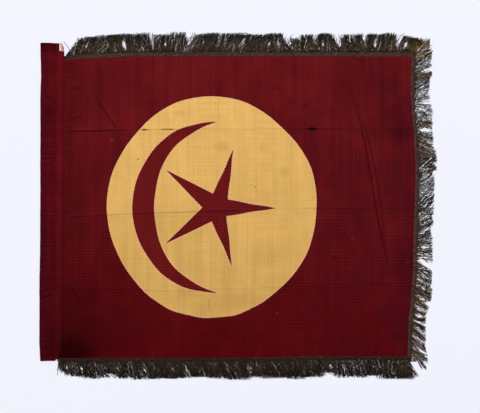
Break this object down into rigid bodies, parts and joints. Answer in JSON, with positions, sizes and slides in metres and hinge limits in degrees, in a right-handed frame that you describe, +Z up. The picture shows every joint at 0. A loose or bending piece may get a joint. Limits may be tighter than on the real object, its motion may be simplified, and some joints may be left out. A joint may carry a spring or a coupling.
{
  "type": "fringed flag with pole sleeve",
  "caption": "Worn red silk flag laid flat, with a gold disc, crescent and star let in, tarnished metal fringe on its outer edges and an open pole sleeve down the hoist.",
  "frame": {"origin": "on the surface the flag lies on, under the middle of its whole outline", "axes": "+X from the pole sleeve to the fly edge, +Y to the top edge, +Z up off the surface"},
  "size_m": [0.9962, 0.865, 0.01],
  "materials": {
    "red_silk": "ribbed silk, worn and dusty, low sheen",
    "gold_silk": "ribbed silk, slightly soiled, low sheen",
    "sleeve_silk": "plain silk over lining, creased, low sheen",
    "cream_lining": "plain cotton, matte",
    "dark_backing": "plain cotton, matte",
    "tarnished_fringe": "tarnished twisted metal thread, dull with a few bright strands"
  },
  "bodies": {
    "root": {"field": "red_silk", "disc": "gold_silk", "crescent": "red_silk", "star": "red_silk", "pole_sleeve": "sleeve_silk", "lining_tab": "cream_lining", "tear_backing": "dark_backing", "fringe_top": "tarnished_fringe", "fringe_fly": "tarnished_fringe", "fringe_bottom": "tarnished_fringe"}
  },
  "joints": []
}
